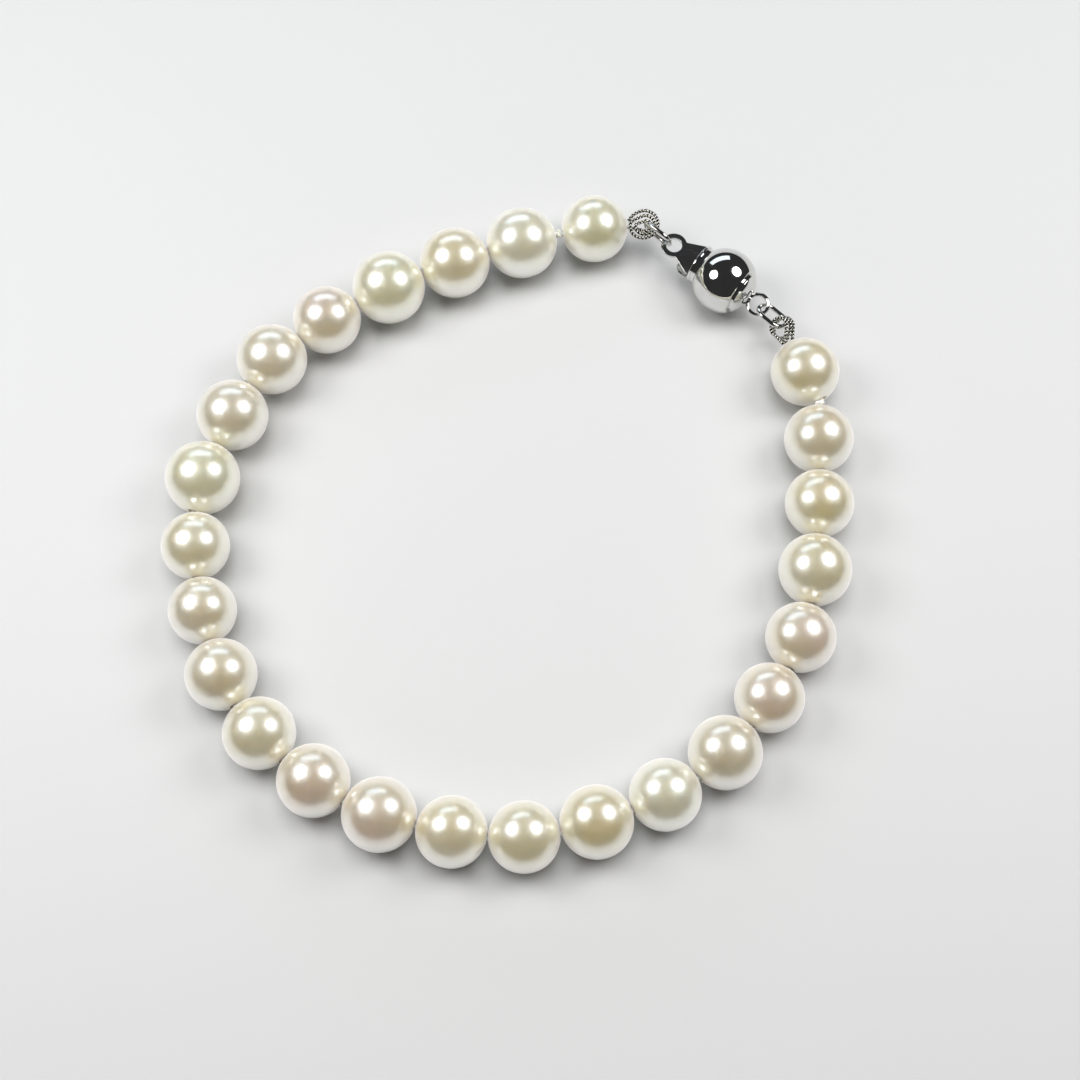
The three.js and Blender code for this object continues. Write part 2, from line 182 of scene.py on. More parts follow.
# %% Turning and sweeping
def unit(vectors):
    """Each vector divided by its own length."""
    return vectors / np.linalg.norm(vectors, axis=-1, keepdims=True)


def across(path, reference, closed=False):
    """Two unit directions across the path at each of its points: side is the reference crossed with the
    path's direction, and over is the direction crossed with side."""
    if closed:
        along = unit(np.roll(path, -1, axis=0) - np.roll(path, 1, axis=0))
    else:
        along = unit(np.gradient(path, axis=0))
    side = unit(np.cross(np.broadcast_to(reference, path.shape), along))
    return side, np.cross(along, side)


def angles_round(sides):
    """Equal steps of a full turn, the last one left out because it is the first."""
    return np.arange(sides) * 2 * np.pi / sides


def rings_round(path, side, over, radii):
    """Rings round a path: side times cosine plus over times sine, times the radius. The radii are given for
    each angle, or for each point and angle."""
    angle = angles_round(radii.shape[-1])[:, None]
    return path[:, None] + radii[..., None] * (side[:, None] * np.cos(angle) + over[:, None] * np.sin(angle))


def swept(path, reference, radii, closed=False):
    """Rings round a path whose section keeps its side square to the reference."""
    return rings_round(path, *across(path, reference, closed), radii)


def turned(profile, sides):
    """A profile of (along, radius) rows turned about the X axis: Y is radius times cosine, Z times sine."""
    angle = angles_round(sides)
    along, radius = profile[:, :1], profile[:, 1:]
    along = np.broadcast_to(along, (len(profile), sides))
    return np.stack([along, radius * np.cos(angle), radius * np.sin(angle)], axis=-1)


def arc(centre, radius, start, end, pieces):
    """Points on a circle's arc, as rows of two, ends included."""
    angle = np.linspace(start, end, pieces + 1)
    return np.stack([centre[0] + radius * np.cos(angle), centre[1] + radius * np.sin(angle)], axis=-1)


print("rings, sides and axes of the square, turned:", turned(square[:, :2], 24).shape)

# %% Smooth paths
CURVE_STEPS = 64


def smooth_path(points, steps):
    """A centripetal Catmull-Rom curve through the points, then spread evenly along its length.
    Each stretch is a cubic between two points, with slopes weighted by the square roots of the distances."""
    ends = np.concatenate([[2 * points[0] - points[1]], points, [2 * points[-1] - points[-2]]])
    p0, p1, p2, p3 = ends[:-3], ends[1:-2], ends[2:-1], ends[3:]
    roots = np.sqrt(np.linalg.norm(np.diff(ends, axis=0), axis=1))[:, None]
    d01, d12, d23 = roots[:-2], roots[1:-1], roots[2:]
    slope1 = ((p1 - p0) / d01 - (p2 - p0) / (d01 + d12) + (p2 - p1) / d12) * d12
    slope2 = ((p2 - p1) / d12 - (p3 - p1) / (d12 + d23) + (p3 - p2) / d23) * d12
    t = np.linspace(0, 1, CURVE_STEPS, endpoint=False)[:, None]
    weights = (2 * t**3 - 3 * t**2 + 1, t**3 - 2 * t**2 + t, 3 * t**2 - 2 * t**3, t**3 - t**2)
    curve = sum(part[:, None] * weight for part, weight in zip((p1, slope1, p2, slope2), weights))
    return evenly(np.concatenate([curve.reshape(-1, 3), points[-1:]]), steps)


def evenly(path, steps):
    """The same line, as points an equal distance apart: each coordinate is interpolated over the length."""
    length = np.concatenate([[0], np.cumsum(np.linalg.norm(np.diff(path, axis=0), axis=1))])
    wanted = np.linspace(0, length[-1], steps)
    return np.stack([np.interp(wanted, length, path[:, k]) for k in range(3)], axis=-1)


def path_length(path):
    """The sum of the distances from each point to the next."""
    return float(np.linalg.norm(np.diff(path, axis=0), axis=1).sum())


rounded = smooth_path(square[:3], 50)
print("length of a smooth path through three corners of the square:", round(path_length(rounded), 3))

# %% [markdown]
# ## Where the pearls lie
#
# A solid's box gives its pearl's middle and size. The drill hole is the one axis that the pearl is
# symmetrical about, so its vertices spread equally far in every direction across it, and differently along
# it: the odd one of the three directions of spread is the hole.


# %% Read the pearls from the frame
def pearl_place(name):
    """(centre, radius, direction of the drill hole) of a pearl's solid, in millimetres."""
    low, high = (np.array(corner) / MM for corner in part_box(name))
    centre = (low + high) / 2
    vertices = frame["nodes"][name].data.vertices
    points = np.empty(len(vertices) * 3, np.float32)
    vertices.foreach_get("co", points)
    points = np.unique(np.round(points.reshape(-1, 3) / MM, 3), axis=0) - centre
    spread, directions = np.linalg.eigh(points.T @ points)
    odd = np.argmax(np.abs(spread - np.median(spread)))
    return centre, (high[2] - low[2]) / 2, directions[:, odd]


pearl_names = sorted(name for name in frame["nodes"] if name.startswith("pearl_"))
centres, radii, holes = (np.array(column) for column in zip(*map(pearl_place, pearl_names)))
# Every hole points on towards the next pearl.
holes *= np.sign(np.einsum("ij,ij->i", holes, np.gradient(centres, axis=0)))[:, None]
print("pearls:", len(centres), "diameters", (2 * radii).min().round(2), "to", (2 * radii).max().round(2))

# %% [markdown]
# ## Nodes in a few words
#
# A material is a graph of nodes, and small helpers keep the graphs short. A node group is an effect that
# several finishes share: each places it with values of its own. Every group here gives three things that
# change over the surface: a colour, a roughness, and a height that a bump turns into relief.


# %% Node helpers
RESULTS = {"Colour": "NodeSocketColor", "Roughness": "NodeSocketFloat", "Height": "NodeSocketFloat"}


def add_node(tree, kind, inputs=None, **settings):
    """A node of that kind. inputs maps a socket's name or number to a value, or to a socket to link from."""
    node = tree.nodes.new(kind)
    for name, value in settings.items():
        setattr(node, name, value)
    for name, value in (inputs or {}).items():
        if isinstance(value, bpy.types.NodeSocket):
            tree.links.new(value, node.inputs[name])
        else:
            node.inputs[name].default_value = value
    return node


def math_node(tree, operation, *values, clamp=False):
    """One sum on two values, kept between 0 and 1 if clamp is set."""
    node = add_node(tree, "ShaderNodeMath", dict(enumerate(values)), operation=operation, use_clamp=clamp)
    return node.outputs[0]


def product(tree, first, *others):
    """All the values multiplied together."""
    for value in others:
        first = math_node(tree, "MULTIPLY", first, value)
    return first


def mix_colour(tree, share, first, second):
    """The first colour at a share of 0, the second at 1. A colour mix has its sockets at 6, 7 and 2."""
    node = add_node(tree, "ShaderNodeMix", {0: share, 6: first, 7: second}, data_type="RGBA")
    return node.outputs[2]


def remap(tree, value, low, high, to_low=0.0, to_high=1.0):
    """The value moved in a straight line from one range to another, and kept inside it."""
    inputs = {0: value, 1: low, 2: high, 3: to_low, 4: to_high}
    return add_node(tree, "ShaderNodeMapRange", inputs).outputs[0]


print("a group gives:", *RESULTS)


# %% Noise, values and relief
def own_axes(tree):
    """The place on a piece in its own axes, in metres."""
    return add_node(tree, "ShaderNodeTexCoord").outputs["Object"]


def noise(tree, place, scale, detail, **more):
    """Soft noise, mostly between 0.3 and 0.7. Its lumps are about one metre over the scale apart."""
    inputs = {"Vector": place, "Scale": scale, "Detail": detail, **more}
    return add_node(tree, "ShaderNodeTexNoise", inputs).outputs["Fac"]


def patches(tree, place, low, high, **kind):
    """Noise stretched so that it is 0 up to low and 1 from high on."""
    return remap(tree, noise(tree, place, **kind), low, high)


def vertex_value(tree, name):
    """The number that add_values gave each vertex."""
    return add_node(tree, "ShaderNodeAttribute", attribute_name=name).outputs["Fac"]


def add_relief(tree, shader, height, distance, strength=1.0):
    """Tilts the shader's normal as if a height of one stood out by the distance, in millimetres."""
    inputs = {"Height": height, "Distance": distance * MM, "Strength": strength}
    tree.links.new(add_node(tree, "ShaderNodeBump", inputs).outputs[0], shader.inputs["Normal"])


# %% Groups and materials
def new_group(name, inputs, layers):
    """A node group with an input for each row, a colour or a number. layers works out its results."""
    group = bpy.data.node_groups.new(name, "ShaderNodeTree")
    for title, value in inputs.items():
        kind = RESULTS["Height" if isinstance(value, float) else "Colour"]
        group.interface.new_socket(title, in_out="INPUT", socket_type=kind).default_value = value
    for title, kind in RESULTS.items():
        group.interface.new_socket(title, in_out="OUTPUT", socket_type=kind)
    given = group.nodes.new("NodeGroupInput").outputs
    sink = group.nodes.new("NodeGroupOutput")
    for title, result in zip(RESULTS, layers(group, own_axes(group), given)):
        group.links.new(result, sink.inputs[title])
    return group


def new_material(name, **values):
    """A material whose Principled shader has the given plain values: (material, tree, shader)."""
    material = bpy.data.materials.new(name)
    material.use_nodes = True
    tree = material.node_tree
    tree.nodes.clear()
    shader = add_node(tree, "ShaderNodeBsdfPrincipled", values)
    add_node(tree, "ShaderNodeOutputMaterial", {"Surface": shader.outputs[0]})
    return material, tree, shader


def place_group(tree, shader, group, **inputs):
    """Places a group and links its colour and roughness to the shader. What is left is its height."""
    results = add_node(tree, "ShaderNodeGroup", inputs, node_tree=group).outputs
    tree.links.new(results["Colour"], shader.inputs["Base Color"])
    tree.links.new(results["Roughness"], shader.inputs["Roughness"])
    return results["Height"]


# %% [markdown]
# ## Nacre
#
# A pearl is a mass of very thin clear plates laid over each other. Light goes a little way in and comes out
# again, so the body is soft and creamy, while the plates together reflect much more than glass does. That
# is modelled with light scattered under the surface and a very high index of refraction, under a clear
# polish. A sheen adds the pale ring near the outline, where the plates are seen almost edge on. The overtone
# is a painted sheen: a rosy or a green tint on top of a pearl, turned a little towards the camera, painted
# with noise and one vertex value.
#
# In the group, the body tone moves towards the overtone where the sheen is painted, and towards a paler shade
# in slow clouds. The roughness changes a little with the sheen's swirls. The height has growth lines and
# pits.


# %% The nacre group
CLOUDS = {"scale": 260.0, "detail": 2.0, "low": 0.35, "high": 0.7}
SWIRLS = {"scale": 620.0, "detail": 3.0, "Distortion": 0.8}
GROWTH_LINES = {"scale": 1500.0, "detail": 4.0, "Roughness": 0.6}
PITS = {"scale": 900.0, "radius": 0.16, "depth": 0.25}
SHEEN_BLUSH_BY_SWIRL = (0.25, 0.75, 0.7, 1.3)
ROUGHNESS_BY_SWIRL = (0.2, 0.8, 0.34, 0.4)
NACRE_INPUTS = {
    "Body": (0.8, 0.75, 0.65, 1),
    "Overtone": (0.8, 0.65, 0.65, 1),
    "Pale": (0.9, 0.9, 0.85, 1),
    "Blush": 0.5,
    "Cloud": 0.4,
}


def nacre_layers(group, place, given):
    """Body, overtone and pale colours mixed by the painted sheen and the clouds. Height: pits plus growth
    lines.
    """
    swirl = noise(group, place, **SWIRLS)
    by_swirl = remap(group, swirl, *SHEEN_BLUSH_BY_SWIRL)
    # The share of the painted overtone sheen: vertex value, tone strength and swirls.
    share = product(group, vertex_value(group, "sheen_blush"), given["Blush"], by_swirl)
    sheen_blushed = mix_colour(group, share, given["Body"], given["Overtone"])
    paler = product(group, patches(group, place, **CLOUDS), given["Cloud"])
    cells = add_node(group, "ShaderNodeTexVoronoi", {"Vector": place, "Scale": PITS["scale"]}, feature="F1")
    pits = product(group, remap(group, cells.outputs["Distance"], 0.0, PITS["radius"]), PITS["depth"])
    return (
        mix_colour(group, paler, sheen_blushed, given["Pale"]),
        remap(group, swirl, *ROUGHNESS_BY_SWIRL),
        math_node(group, "ADD", pits, noise(group, place, **GROWTH_LINES)),
    )


nacre_group = new_group("nacre layers", NACRE_INPUTS, nacre_layers)
print("group:", nacre_group.name, "nodes", len(nacre_group.nodes))

# %% [markdown]
# One finish for each tone. A tone is a row: the body colour, the colour of its painted overtone sheen, and
# how strongly that sheen is painted. The values are linear light, which is why they look darker than the same
# colour in a paint box.

# %% Nacre finishes
NACRE_TONES = {
    "nacre_cream": {"body": (0.89, 0.72, 0.32), "overtone": (0.89, 0.70, 0.34), "sheen_blush": 0.4},
    "nacre_greenish": {"body": (0.91, 0.80, 0.39), "overtone": (0.85, 0.82, 0.42), "sheen_blush": 0.6},
    "nacre_silver": {"body": (0.95, 0.85, 0.52), "overtone": (0.90, 0.85, 0.54), "sheen_blush": 0.5},
    "nacre_beige": {"body": (0.84, 0.68, 0.35), "overtone": (0.86, 0.66, 0.36), "sheen_blush": 0.5},
    "nacre_pinkish": {"body": (0.85, 0.65, 0.32), "overtone": (0.91, 0.61, 0.40), "sheen_blush": 0.8},
    "nacre_olive": {"body": (0.88, 0.73, 0.35), "overtone": (0.86, 0.73, 0.37), "sheen_blush": 0.5},
    "nacre_golden": {"body": (0.87, 0.70, 0.27), "overtone": (0.87, 0.66, 0.27), "sheen_blush": 0.5},
}
PALE_NACRE = (0.96, 0.88, 0.68)
NACRE_SHADER = {
    "IOR": 9.0,
    "Specular Tint": (0.87, 0.93, 0.97, 1),
    "Subsurface Weight": 1.0,
    "Subsurface Radius": (1.0, 0.8, 0.5),
    "Subsurface Scale": 1.2 * MM,
    "Coat Weight": 1.0,
    "Coat Roughness": 0.19,
    "Coat IOR": 2.2,
    "Sheen Weight": 1.0,
    "Sheen Roughness": 0.45,
    "Sheen Tint": (1.0, 0.95, 0.96, 1),
}
NACRE_RELIEF = {"distance": 0.004, "strength": 0.5}


def nacre_material(name, body, overtone, sheen_blush):
    """The same shader for every tone, with the group's colours set to this tone's."""
    material, tree, shader = new_material(name, **NACRE_SHADER)
    shader.subsurface_method = "BURLEY"
    colours = {"Body": (*body, 1), "Overtone": (*overtone, 1), "Pale": (*PALE_NACRE, 1)}
    height = place_group(tree, shader, nacre_group, **colours, Blush=sheen_blush)
    add_relief(tree, shader, height, **NACRE_RELIEF)
    return material


nacre = {name: nacre_material(name, **tone) for name, tone in NACRE_TONES.items()}
print("nacre finishes:", ", ".join(nacre))

# %% [markdown]
# ## Pearls
#
# A pearl could be a sphere, but a real one is drilled and never quite round. So its surface is turned about
# its drill hole: the profile runs over the outside from one end of the hole to the other, round a small
# chamfer left by the drill, and back along the wall of the hole. Rings close on themselves both ways, and
# there is no pole to shade badly. Three slow waves then press the outside in by up to 0.6 percent.

# %% Build the pearls
DRILL_RADIUS = 0.4
CHAMFER = 0.07
PEARL_SIDES = 80
PEARL_BANDS = 52
UNEVENNESS = 0.006
WAVES = (1.5, 4.0)
SKIN = 0.02
# Painted overtone sheen: a rosy or a green tint on the side of each pearl that faces up and a little towards
# the camera.
SHEEN_BLUSH_FACES = np.array([0.1, -0.15, 0.98])
SHEEN_BLUSH = {"scatter": 0.25, "edge": 0.55, "power": 1.5}
FIRST_SEED = 100

# Which of the record's slots each pearl has.
slot_of = {row["node"]: row["material_slot"] for row in frame["record"]["subparts"]}


def pearl_profile(radius):
    """Rows of (along, distance from the axis): the outside arc, the chamfer and the hole's wall."""
    edge = math.asin((DRILL_RADIUS + CHAMFER) / radius)
    outside = arc((0, 0), radius, np.pi - edge, edge, PEARL_BANDS)
    reach = outside[-1, 0]
    wall = np.array([[reach - CHAMFER / 3, DRILL_RADIUS + CHAMFER / 3], [reach - CHAMFER, DRILL_RADIUS]])
    return np.concatenate([outside, wall, wall[::-1] * (-1, 1)])


def uneven(directions, random):
    """How far each direction is pressed in, from 0 to 1: three waves over the sphere in random directions."""
    axes = unit(random.normal(size=(3, 3)))
    waves = np.cos(directions @ axes.T * random.uniform(*WAVES, 3) + random.uniform(0, 2 * np.pi, 3))
    return (waves.mean(-1) + 1) / 2


def pearl_surface(centre, radius, hole, random):
    """(shell, painted sheen value at each point). The pearl's own X axis is its hole, and its Z axis is up.
    The hole's wall isn't pressed in. The painted overtone sheen is strongest where a point faces its own
    direction."""
    rings = turned(pearl_profile(radius), PEARL_SIDES)
    directions = unit(rings)
    inwards = 1 - np.linalg.norm(rings, axis=-1) / radius
    outside = np.clip(1 - inwards / SKIN, 0, 1)
    rings = rings * (1 - UNEVENNESS * uneven(directions, random) * outside)[..., None]
    level = np.array([-hole[1], hole[0], 0.0])
    axes = np.stack([hole, level, np.cross(hole, level)])
    towards = unit(SHEEN_BLUSH_FACES + SHEEN_BLUSH["scatter"] * random.normal(size=3))
    facing = (directions @ axes @ towards - SHEEN_BLUSH["edge"]) / (1 - SHEEN_BLUSH["edge"])
    return shell(centre + rings @ axes, closed=True), np.clip(facing, 0, 1).ravel() ** SHEEN_BLUSH["power"]


def build_pearl(index, name):
    """A pearl with random numbers of its own, so that it doesn't depend on how many came before it."""
    random = np.random.default_rng(FIRST_SEED + index)
    surface, sheen_blush = pearl_surface(centres[index], radii[index], holes[index], random)
    slot = slot_of[name]
    piece = add_piece("nacre_" + name, surface, nacre[slot], [name])
    # The strength of the painted overtone sheen at each vertex.
    add_values(piece, "sheen_blush", sheen_blush)
    return piece


pearls = [build_pearl(index, name) for index, name in enumerate(pearl_names)]
print("pearls:", len(pearls), "triangles:", sum(triangle_count(piece) for piece in pearls))

# %% [markdown]
# ## Where the clasp lies
#
# The clasp rests on its ball, and its own X axis runs from the tongue's eye to the ball's ring. All its
# pieces are worked out about that axis, in millimetres, and then turned and moved to their place. The
# bracelet was laid out about a point that is LAID_CENTRE away from the middle of its box.

# %% Clasp axes
LAID_CENTRE = np.array([0.07, 0.06, 0.0])
BALL_RADIUS = 3.15
CLASP_MIDDLE = np.array([20.7, 24.2, BALL_RADIUS]) - LAID_CENTRE
CLASP_HEADING = -37.5


def heading(degrees):
    """The level direction at that angle from +X."""
    angle = math.radians(degrees)
    return np.array([math.cos(angle), math.sin(angle), 0.0])


CLASP_AXES = np.stack([heading(CLASP_HEADING), heading(CLASP_HEADING + 90), [0, 0, 1]])


def on_clasp(surface):
    """A shell in the clasp's own axes, turned and moved to where the clasp lies."""
    points, quads, triangles = surface
    return CLASP_MIDDLE + points @ CLASP_AXES, quads, triangles


print("middle of the clasp in mm:", CLASP_MIDDLE.round(2), "heading in degrees:", CLASP_HEADING)

# %% [markdown]
# ## Metal finishes
#
# The clasp is polished white metal. A mirror finish shows almost only what is round it, so what makes it
# look real is what is wrong with it: crossing hairline scratches, and a faint haze where fingers polish it
# less. Each metal part places the group with its own strengths. A scratch is noise stretched about forty
# times along one direction. In the coil, shade is painted dark into the grooves between the windings.


# %% The metal wear group
HAIRLINES = [
    {"Rotation": (0.3, 0.2, 0.7), "Scale": (90.0, 4200.0, 4200.0)},
    {"Rotation": (0.1, 0.5, -0.9), "Scale": (120.0, 5200.0, 3800.0)},
]
HAIRS = {"scale": 1.0, "detail": 2.0, "low": 0.62, "high": 0.72}
HAZE = {"scale": 700.0, "detail": 3.0, "low": 0.4, "high": 0.75}
GRAIN = {"scale": 9000.0, "detail": 2.0}
DULL_BY_HAZE = 0.6
ROUGH_BY_SCRATCH = 0.08
WEAR_INPUTS = {
    "Bright": (0.74, 0.74, 0.725, 1),
    "Dull": (0.62, 0.61, 0.585, 1),
    "Polish": 0.05,
    "Haze": 0.1,
    "Scratches": 0.5,
    "Grain": 0.0,
}


def hairline(group, place, row):
    """Scratches in one direction: the crests of noise on turned and stretched axes."""
    stretched = add_node(group, "ShaderNodeMapping", {"Vector": place, **row}).outputs[0]
    return patches(group, stretched, **HAIRS)


def wear_layers(group, place, given):
    """Haze dulls the colour. Roughness: haze plus polish plus scratches. Height: grain less scratches."""
    scratch = math_node(group, "MAXIMUM", *[hairline(group, place, row) for row in HAIRLINES])
    scratch = product(group, scratch, given["Scratches"])
    hazy = patches(group, place, **HAZE)
    rough = math_node(group, "ADD", product(group, hazy, given["Haze"]), given["Polish"])
    return (
        mix_colour(group, product(group, hazy, DULL_BY_HAZE), given["Bright"], given["Dull"]),
        math_node(group, "ADD", rough, product(group, scratch, ROUGH_BY_SCRATCH), clamp=True),
        math_node(group, "SUBTRACT", product(group, noise(group, place, **GRAIN), given["Grain"]), scratch),
    )


wear_group = new_group("metal wear", WEAR_INPUTS, wear_layers)
print("group:", wear_group.name, "nodes", len(wear_group.nodes))

# %% Metal finishes
METAL_RELIEF = 0.0008
GROOVE_SHADE_EDGES = (0.25, 0.75)
# Painted shade: the dark colour painted into the grooves between a coil's windings.
PAINTED_GROOVE_SHADE = (0.015, 0.013, 0.01, 1)
WIRE_COLOURS = {"Bright": (0.72, 0.71, 0.65, 1), "Dull": (0.52, 0.5, 0.44, 1)}


def metal_material(name, **values):
    """A metal shader with the wear group, whose inputs are the values."""
    material, tree, shader = new_material(name, Metallic=1.0, IOR=2.5)
    height = place_group(tree, shader, wear_group, **values)
    add_relief(tree, shader, height, METAL_RELIEF)
    return material


def paint_groove_shade(material):
    """Painted shade: darkens the colour where the vertex value crown is low, in the grooves between the
    windings of a coil, where shade falls."""
    tree = material.node_tree
    shader = next(node for node in tree.nodes if node.type == "BSDF_PRINCIPLED")
    bright = shader.inputs["Base Color"].links[0].from_socket
    crown = remap(tree, vertex_value(tree, "crown"), *GROOVE_SHADE_EDGES)
    colour = mix_colour(tree, crown, PAINTED_GROOVE_SHADE, bright)
    tree.links.new(colour, shader.inputs["Base Color"])


polished = metal_material("polished_metal", Polish=0.04, Haze=0.07, Scratches=0.5)
satin = metal_material("satin_plate", Polish=0.09, Haze=0.08, Scratches=0.6, Grain=1.0)
wire_metal = metal_material("bright_wire", Polish=0.08, Haze=0.05, Scratches=0.2, **WIRE_COLOURS)
# Painted shade goes into the grooves of the coil's windings.
paint_groove_shade(wire_metal)
print("metal finishes:", polished.name, satin.name, wire_metal.name)

# %% [markdown]
# ## Ball of the clasp
#
# The ball is two drawn cups soldered together, with a collar pressed into its mouth, a groove near the
# other end, and a domed cap that carries the ring. It is one turned surface: from the back of the hollow,
# forward along the inside, out through the slot, over the collar's face, and back over the outside to the
# cap. Only the slot isn't round: its rings follow a rounded box, and pass over the face into the collar's.

# %% Outside of the ball
BALL_WALL = 0.35
COLLAR = {"radius": 2.0, "front": -3.15, "back": -2.87, "bevel": 0.08}
SEAM = {"radius": 1.88, "back": -2.42}
GROOVE = {"at": 1.92, "width": 0.3, "depth": 0.42}
CAP = {"radius": 3.1, "flat": 0.7}
CAP_END = math.sqrt(CAP["radius"] ** 2 - CAP["flat"] ** 2)
SLOT = {"half_width": 1.42, "half_height": 0.69, "middle": -0.09, "corner": 10.0}
BALL_SIDES = 192
BALL_BANDS = {"rim": 5, "body": 84, "cap": 28, "hollow": 24, "face": 5}
EDGE = 0.03
# The back walls of the seam and of the groove lean by this much of the ball's angle.
LEAN = 0.01


def ball_outside():
    """Rows of (along, radius) from the collar's rim to the middle of the cap. Corners are cut off by EDGE."""
    groove_end = GROOVE["at"] + GROOVE["width"]
    body_radius = math.sqrt(BALL_RADIUS**2 - GROOVE["at"] ** 2)
    cap_radius = math.sqrt(CAP["radius"] ** 2 - groove_end**2)
    floor = body_radius - GROOVE["depth"]
    front, back, bevel = COLLAR["front"], COLLAR["back"], COLLAR["bevel"]
    rim = arc((front + bevel, COLLAR["radius"] - bevel), bevel, np.pi, np.pi / 2, BALL_BANDS["rim"])
    seam = [[back - EDGE, COLLAR["radius"]], [back, COLLAR["radius"] - EDGE], [back, SEAM["radius"]]]
    seam.append([SEAM["back"], SEAM["radius"]])
    seam_angle, groove_angle = math.acos(SEAM["back"] / BALL_RADIUS), math.acos(GROOVE["at"] / BALL_RADIUS)
    body = arc((0, 0), BALL_RADIUS, seam_angle - LEAN, groove_angle, BALL_BANDS["body"])[:-1]
    groove = [
        [GROOVE["at"] - EDGE, body_radius + EDGE * 0.4],
        [GROOVE["at"] + EDGE / 4, body_radius - EDGE],
        [GROOVE["at"] + EDGE / 4, floor],
        [groove_end - EDGE / 4, floor],
        [groove_end - EDGE / 4, cap_radius - EDGE / 2],
    ]
    cap_angle, flat_angle = math.acos(groove_end / CAP["radius"]), math.asin(CAP["flat"] / CAP["radius"])
    cap = arc((0, 0), CAP["radius"], cap_angle - LEAN, flat_angle, BALL_BANDS["cap"])
    return np.concatenate([rim, seam, body, groove, cap, [[CAP_END, CAP["flat"] / 2]]])


outside_rows = ball_outside()
print("outside of the ball:", len(outside_rows), "rows,", np.ptp(outside_rows[:, 0]).round(2), "mm long")


# %% Hollow and slot
def ball_inside():
    """Rows of (along, radius) from the back of the hollow to its mouth, one wall in from the outside."""
    radius = BALL_RADIUS - BALL_WALL
    mouth = SEAM["radius"] - BALL_WALL
    back = GROOVE["at"] - BALL_WALL
    hollow_end = math.sqrt(radius**2 - GROOVE["at"] ** 2) - GROOVE["depth"]
    mouth_angle = np.pi - math.asin(mouth / radius)
    hollow = arc((0, 0), radius, math.acos(back / radius), mouth_angle, BALL_BANDS["hollow"])
    cap_back = CAP_END - BALL_WALL
    back_rows = [[cap_back, CAP["flat"] / 2], [cap_back, CAP["flat"]], [back, hollow_end]]
    return np.concatenate([back_rows, hollow, [[COLLAR["front"] + BALL_WALL, mouth]]])


def slot_ring(along, grow):
    """A ring round the slot: a rounded box. Its radius is one over the tenth root of the sum of the
    tenth powers of cosine over half width and sine over half height."""
    angle = angles_round(BALL_SIDES)
    power = SLOT["corner"]
    wide = np.abs(np.cos(angle)) / (SLOT["half_width"] + grow)
    high = np.abs(np.sin(angle)) / (SLOT["half_height"] + grow)
    radius = (wide**power + high**power) ** (-1 / power)
    ring = np.stack([np.full(BALL_SIDES, along), radius * np.cos(angle), radius * np.sin(angle)], axis=-1)
    return ring + [0, 0, SLOT["middle"]]


def ball_rings():
    """Inside, slot, collar face and outside, as rings in one run."""
    inside = turned(ball_inside(), BALL_SIDES)
    outside = turned(outside_rows, BALL_SIDES)
    face = COLLAR["front"]
    slot = [slot_ring(face + BALL_WALL, 0), slot_ring(face + EDGE, 0)]
    edge = slot_ring(face, EDGE)
    t = np.linspace(0, 1, BALL_BANDS["face"])[1:-1, None, None]
    return np.concatenate([inside, slot, [edge], edge + (outside[0] - edge) * t, outside])


print("rings of the ball:", len(ball_rings()), "of", BALL_SIDES, "sides")

# %% [markdown]
# The ring lies almost level behind the cap, and a fillet of solder joins them. Solder runs up both parts,
# so the fillet is a turned neck that is narrow in the middle and flares at both ends.

# %% Build the ball
BALL_RING = {"at": 4.0, "drop": 0.25, "tilt": math.radians(16), "radius": 1.0, "wire": 0.21}
BALL_RING_STEPS, BALL_RING_SIDES = 96, 20
SOLDER = {"from": 2.9, "to": 3.25, "radius": 0.3, "flare": 0.6, "bands": 14, "sides": 32}


def solder_neck():
    """A neck from inside the cap to inside the ring's wire. Its radius is a parabola, least in the middle."""
    t = np.linspace(0, 1, SOLDER["bands"])
    along = SOLDER["from"] + (SOLDER["to"] - SOLDER["from"]) * t
    radius = SOLDER["radius"] + SOLDER["flare"] * (t - 0.5) ** 2
    profile = np.stack([along, radius], axis=-1)
    return shell(turned(profile, SOLDER["sides"]) - [0, 0, BALL_RING["drop"]])


def ring_path(radius, half_straight, steps):
    """A circle in the XY plane, pulled apart along X: its two halves each move by half_straight."""
    angle = np.linspace(0, 2 * np.pi, steps, endpoint=False) + np.pi / steps
    x = radius * np.cos(angle)
    return np.stack([x + np.sign(x) * half_straight, radius * np.sin(angle), 0 * angle], axis=-1)


def wire_ring(path, wire, sides):
    """A closed round wire along a flat path."""
    return shell(swept(path, [0, 0, 1.0], np.full(sides, wire), closed=True), closed=True)


def ball_ring():
    """A ring of round wire, tipped about X and then moved back along it."""
    path = ring_path(BALL_RING["radius"], 0.0, BALL_RING_STEPS)
    points, quads, triangles = wire_ring(path, BALL_RING["wire"], BALL_RING_SIDES)
    cosine, sine = math.cos(BALL_RING["tilt"]), math.sin(BALL_RING["tilt"])
    tipped = points @ np.array([[1, 0, 0], [0, cosine, sine], [0, -sine, cosine]])
    return tipped + [BALL_RING["at"], 0, -BALL_RING["drop"]], quads, triangles


ball_surface = on_clasp(joined([shell(ball_rings()), solder_neck(), ball_ring()]))
ball = add_piece("ball_of_clasp", ball_surface, polished, ["clasp_ball"], crease=32)
print("ball triangles:", triangle_count(ball))

# %% [markdown]
# ## Tongue of the clasp
#
# The tongue is one strip of sheet, folded back under itself so that it springs. Its upper half is a flat
# plate with shoulders that stop against the collar and an eye at the end. The plate could be an extruded
# outline, but sheet that has been cut and tumbled has rounded edges. So a section is carried round the
# outline: from the wall of the eye's hole, over the top, round the outer edge and back underneath. Each
# outline point is joined to the point of the hole at the same angle from the eye's middle.

